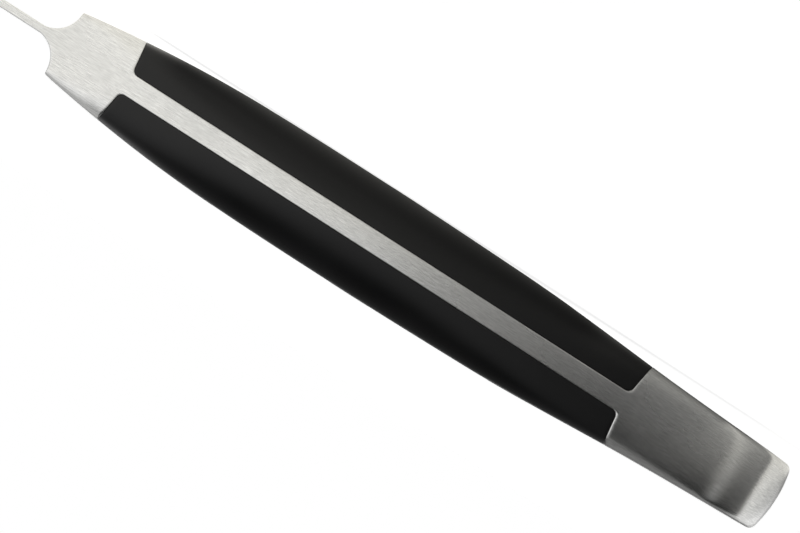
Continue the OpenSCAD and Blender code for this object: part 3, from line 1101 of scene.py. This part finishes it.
def brushed_steel(name, rough, streak, crosswise=False):
    """Steel ground to a grain of fine scratches, drawn out along the knife or, in a hollow, across it"""
    m, g, shader = material(name)
    if crosswise:
        place = None
        way = g.joined(0, 1, 0)
        fine_stretch, coarse_stretch = (1, FINE_STRETCH, 1), (1, COARSE_STRETCH, 1)
    else:
        place, way = grain(g)
        fine_stretch, coarse_stretch = (FINE_STRETCH, 1, 1), (COARSE_STRETCH, 1, 1)
    fine = g.noise(FINE_SCALE, detail=2, roughness=0.6, stretch=fine_stretch, place=place)
    coarse = g.noise(COARSE_SCALE, detail=3, roughness=0.7, stretch=coarse_stretch, place=place)
    cloud = g.noise(CLOUD_SCALE, detail=3, stretch=CLOUD_STRETCH)
    shade = SHADE + SHADE_STREAK * streak
    dark = [(STEEL_GREY - shade) * tint for tint in STEEL_TINT]
    light = [(STEEL_GREY + shade) * tint for tint in STEEL_TINT]
    under = g.bump(coarse, COARSE_STRENGTH * streak, COARSE_DEPTH)
    g.fill(shader, {
        "Metallic": 1,
        "Anisotropic": 0.85,
        "Anisotropic Rotation": 0.25,
        "Tangent": way,
        "Base Color": g.shades(coarse, dark, light),
        "Roughness": g.spread(cloud, rough - SMOOTHER, rough + ROUGHER),
        "Normal": g.bump(fine, FINE_STRENGTH * streak, FINE_DEPTH, under),
    })
    return m


# The black plastic: its two shades, the range of its roughness and its clouds. Its moulded grain and its
# scratches have a number in a metre, and a strength with a depth in metres
BLACK = (0.0028, 0.0028, 0.003)
PALER_BLACK = (0.0042, 0.0042, 0.0044)
PLASTIC_ROUGH = (0.34, 0.42)
PLASTIC_CLOUD_SCALE = 120
PLASTIC_CLOUD_STRETCH = (0.5, 1, 1)
MOULD_SCALE = 3500
MOULD_BUMP = (0.1, 0.00002)
SCRATCH_SCALE = 2600
SCRATCH_STRETCH = (0.05, 1, 1)
SCRATCH_BUMP = (0.08, 0.00003)


def black_plastic(name):
    """Satin moulded black with faint scratches along the handle"""
    m, g, shader = material(name)
    mould = g.noise(MOULD_SCALE, detail=3)
    scratch = g.noise(SCRATCH_SCALE, detail=4, roughness=0.6, stretch=SCRATCH_STRETCH)
    cloud = g.noise(PLASTIC_CLOUD_SCALE, detail=3, stretch=PLASTIC_CLOUD_STRETCH)
    g.fill(shader, {
        "Specular IOR Level": 0.32,
        "Base Color": g.shades(cloud, BLACK, PALER_BLACK),
        "Roughness": g.spread(cloud, *PLASTIC_ROUGH),
        "Normal": g.bump(mould, *MOULD_BUMP, g.bump(scratch, *SCRATCH_BUMP)),
    })
    return m


def dress(pieces):
    """Gives every piece its finish"""
    steel = brushed_steel("handle_steel", rough=0.25, streak=1.0)
    cove_steel = brushed_steel("cove_steel", rough=0.26, streak=0.6, crosswise=True)
    blade_steel = brushed_steel("blade_steel", rough=0.24, streak=0.6)
    bevel_steel = brushed_steel("bevel_steel", rough=0.2, streak=0.4)
    rivet_steel = brushed_steel("rivet_steel_finish", rough=0.27, streak=0.8)
    plastic = black_plastic("scale_plastic")
    forging_slots = {HANDLE_SLOT: steel, COVE_SLOT: cove_steel, BLADE_SLOT: blade_steel,
                     BEVEL_SLOT: bevel_steel, WALL_SLOT: steel}
    for node, obj in pieces.items():
        if node == "forging":
            finishes = [forging_slots[slot] for slot in range(len(forging_slots))]
        elif node.endswith("scale"):
            finishes = [plastic]
        else:
            finishes = [rivet_steel]
        obj.data.materials.clear()
        for m in finishes:
            obj.data.materials.append(m)


dress(pieces)


# The photograph's view: along +Y at the spine, turned so that the point lies to the upper left. The place
# that it looks at and the clip distances are in metres
PHOTO_PX_PER_MM = 6.515
PHOTO_W = 800
VIEW_AT = (-0.08674, -0.005, 0.00968)
TILT = math.radians(32.7)
LOOK_DOWN = math.radians(0.6)
LENS = 600.0
SENSOR = 36.0
CLIP = (0.01, 60)


def photo_camera():
    """The camera, far off with a long lens"""
    data = bpy.data.cameras.new("camera")
    data.lens = LENS
    data.sensor_width = SENSOR
    data.clip_start, data.clip_end = CLIP
    cam = placed(data, "camera")
    right = Vector((-math.cos(TILT), 0, -math.sin(TILT)))
    up = Vector((math.sin(TILT), 0, -math.cos(TILT)))
    back = Vector((0, -1, 0))
    turn = Matrix((right, up, back)).transposed().to_4x4()
    away = Matrix.Translation((0, -LENS / SENSOR * PHOTO_W / PHOTO_PX_PER_MM * MM, 0))
    down = Matrix.Rotation(-LOOK_DOWN, 4, "X")
    cam.matrix_world = Matrix.Translation(VIEW_AT) @ down @ away @ turn
    bpy.context.scene.camera = cam


# How the studio's light changes round the knife and with height, in degrees: its level, the fill that comes
# from all round, and the white backdrop behind the butt
ALL_ROUND = (-180, 180)
ALL_HIGH = (-90, 90)
STUDIO_LEVEL = 1.34
ROUND_STOPS = [(-180, 0.03), (-120, 0.03), (-85, 0.3), (-60, 1), (1, 1), (4, 0.6), (7, 0.2), (11, 0.02),
               (14, 0), (24, 0), (34, 0.08), (42, 0.2), (50, 0.08), (58, 0), (91, 0.02), (98, 0.85),
               (152, 0.85), (168, 0.03)]
HIGH_STOPS = [(-90, 1), (15, 1), (35, 0.7), (55, 0.25), (72, 0.06), (90, 0.03)]
FILL_STOPS = [(-90, 0.05), (0, 0.05), (8, 0.04), (30, 0.035), (90, 0.03)]
BACKDROP_ROUND = [(-180, 1), (-168, 1), (-158, 0), (158, 0), (168, 1)]
BACKDROP_HIGH = [(-90, 1), (8, 1), (16, 0)]

# The pale floor: its own colour, its glow for the camera, which is white, and the warm tint of its shine in
# the metal. How far it reaches and how far it lies under the knife are in metres
FLOOR_COLOUR = (0.55, 0.55, 0.55, 1)
FLOOR_GLOW = 0.84
WHITE = (1, 1, 1, 1)
WARM = (1, 0.98, 0.91, 1)
FLOOR_REACH = 30.0
FLOOR_GAP = 0.00002

# How the floor shines in the metal, as places and levels along the knife and across it, in millimetres: far
# from it, close to the scales, beside the bolster, beside the butt cap and past the butt. Beyond the first
# two distances it stays as it is there. Round the butt's turn the places are degrees
FLOOR_X = 200
FLOOR_Y = 64
FAR = ([(-200, 0), (-145, 0), (-130, 0.03), (-112, 0.15), (-100, 0.3), (-90, 0.55), (-70, 0.95), (200, 1)],
       [(-64, 1), (-45, 0.8), (-28, 0.1), (-20, 0), (64, 0)])
# Close to the scales the shine falls off where the knife lies over the floor: a painted shadow of the knife
CLOSE_WITH_SHADOW = ([(-200, 0), (-130, 0), (-120, 0.25), (-100, 0.3), (-80, 0.42), (-42, 0.5), (-37, 0), (200, 0)],
         [(-64, 0.1), (-45, 0.3), (-28, 1), (-15.5, 1), (-13, 0.7), (0, 0.35), (64, 0.1)])
BESIDE_BOLSTER = ([(-200, 0), (-42, 0), (-37, 1), (200, 1)],
                  [(-64, 0.1), (-45, 0.3), (-28, 1), (64, 1)])
BESIDE_CAP = ([(-200, 0), (-150, 0.12), (-142, 0.19), (-132, 0.23), (-121, 0.25), (-116, 0), (200, 0)],
              [(-64, 0), (-30, 0.1), (-18, 0.7), (-14.5, 1), (-10, 1), (0, 0), (64, 0)])
PAST_BUTT = ([(-200, 0.8), (-153, 0.8), (-150, 0.3), (-146, 0), (200, 0)],
             [(-64, 0), (-3.6, 0.05), (-2.4, 1), (30, 1), (60, 0.1)])
TURN_CENTRE = (-142, -5)
TURN_STOPS = [(-180, 0), (2, 0), (14, 0.14), (26, 0.22), (37, 0.46), (47, 0.38), (58, 0.18), (75, 0.12),
              (94, 0.08), (110, 0.03), (130, 0)]

# Reflectors above the steel, in metres: where each starts and ends along the knife, and its level
CARD_Y = 0.05
CARD_Z = 0.1
CARD_WIDTH = 0.3
CARDS = {"blade_card": (-0.037, 0.2, 0.6), "cap_card": (-0.17, -0.131, 0.2)}


def studio_world():
    """The studio: bright from the camera towards the point, dark towards the butt, white behind the butt"""
    world = bpy.data.worlds.new("studio")
    bpy.context.scene.world = world
    world.use_nodes = True
    g = Graph(world.node_tree)
    x, y, z = g.split(g.add("TexCoord", {}).outputs["Generated"])

    # Turned round the knife: 0 towards the camera, growing towards the butt
    azimuth = g.degrees(g.calc("ARCTAN2", g.calc("MULTIPLY", x, -1), g.calc("MULTIPLY", y, -1)))
    elevation = g.degrees(g.calc("ARCSINE", z))
    studio = g.curve(azimuth, ROUND_STOPS, *ALL_ROUND)
    studio = g.calc("MULTIPLY", studio, g.curve(elevation, HIGH_STOPS, *ALL_HIGH))
    fill = g.curve(elevation, FILL_STOPS, *ALL_HIGH)
    level = g.calc("ADD", g.calc("MULTIPLY", studio, STUDIO_LEVEL), fill)
    backdrop = g.curve(azimuth, BACKDROP_ROUND, *ALL_ROUND)
    backdrop = g.calc("MULTIPLY", backdrop, g.curve(elevation, BACKDROP_HIGH, *ALL_HIGH))
    level = g.calc("MAXIMUM", level, backdrop)
    seen = g.add("LightPath", {}).outputs["Is Camera Ray"]
    g.fill(g.nodes["Background"], {"Color": WHITE, "Strength": g.chosen("VALUE", seen, level, 1)})


def floor_shine(g):
    """How strongly each place of the floor shines in the metal, with a painted shadow of the knife close to
    the scales
    """
    x, y, _ = g.split(g.add("TexCoord", {}).outputs["Object"])
    x = g.calc("DIVIDE", x, MM)
    y = g.calc("DIVIDE", y, MM)
    near_x = g.kept_in(x, FLOOR_X)
    near_y = g.kept_in(y, FLOOR_Y)
    shine = 0
    for stops_x, stops_y in (FAR, CLOSE_WITH_SHADOW, BESIDE_BOLSTER, BESIDE_CAP, PAST_BUTT):
        level_x = g.curve(near_x, stops_x, -FLOOR_X, FLOOR_X)
        level_y = g.curve(near_y, stops_y, -FLOOR_Y, FLOOR_Y)
        shine = g.calc("ADD", g.calc("MULTIPLY", level_x, level_y), shine)
    centre_x, centre_y = TURN_CENTRE
    turned = g.calc("ARCTAN2", g.calc("SUBTRACT", centre_x, x), g.calc("SUBTRACT", centre_y, y))
    return g.calc("ADD", shine, g.curve(g.degrees(turned), TURN_STOPS, *ALL_ROUND))


def stage_floor():
    """A matt pale floor that glows white for the camera, and shines in the metal"""
    data = bpy.data.meshes.new("floor")
    corners = [(x * FLOOR_REACH, y * FLOOR_REACH, 0) for x, y in ((-1, -1), (1, -1), (1, 1), (-1, 1))]
    data.from_pydata(corners, [], [(0, 1, 2, 3)])
    floor = placed(data, "floor")
    floor.location.z = min(cad_low.z, 0) - FLOOR_GAP
    m, g, shader = material("floor")
    g.nodes.remove(shader)
    path = g.add("LightPath", {}).outputs
    glossy = g.calc("MULTIPLY", path["Is Glossy Ray"], floor_shine(g))
    camera = g.calc("MULTIPLY", path["Is Camera Ray"], FLOOR_GLOW)
    tint = g.chosen("RGBA", path["Is Camera Ray"], WARM, WHITE)
    glow = g.add("Emission", {"Color": tint, "Strength": g.calc("MAXIMUM", camera, glossy)})
    matt = g.add("BsdfDiffuse", {"Color": FLOOR_COLOUR})
    both = g.add("AddShader", {0: matt.outputs[0], 1: glow.outputs[0]})
    g.fill(g.nodes["Material Output"], {"Surface": both.outputs[0]})
    data.materials.append(m)


def card(name, start, end, level):
    """A reflector that lights the steel and that the camera doesn't see"""
    data = bpy.data.lights.new(name, "AREA")
    data.shape = "RECTANGLE"
    data.size = end - start
    data.size_y = CARD_WIDTH
    data.energy = level * math.pi * data.size * data.size_y
    lamp = placed(data, name)
    lamp.location = ((start + end) / 2, CARD_Y, CARD_Z)
    lamp.visible_camera = False


photo_camera()
stage_floor()
studio_world()
for name, (start, end, level) in CARDS.items():
    card(name, start, end, level)
bpy.context.scene.view_settings.view_transform = "Standard"
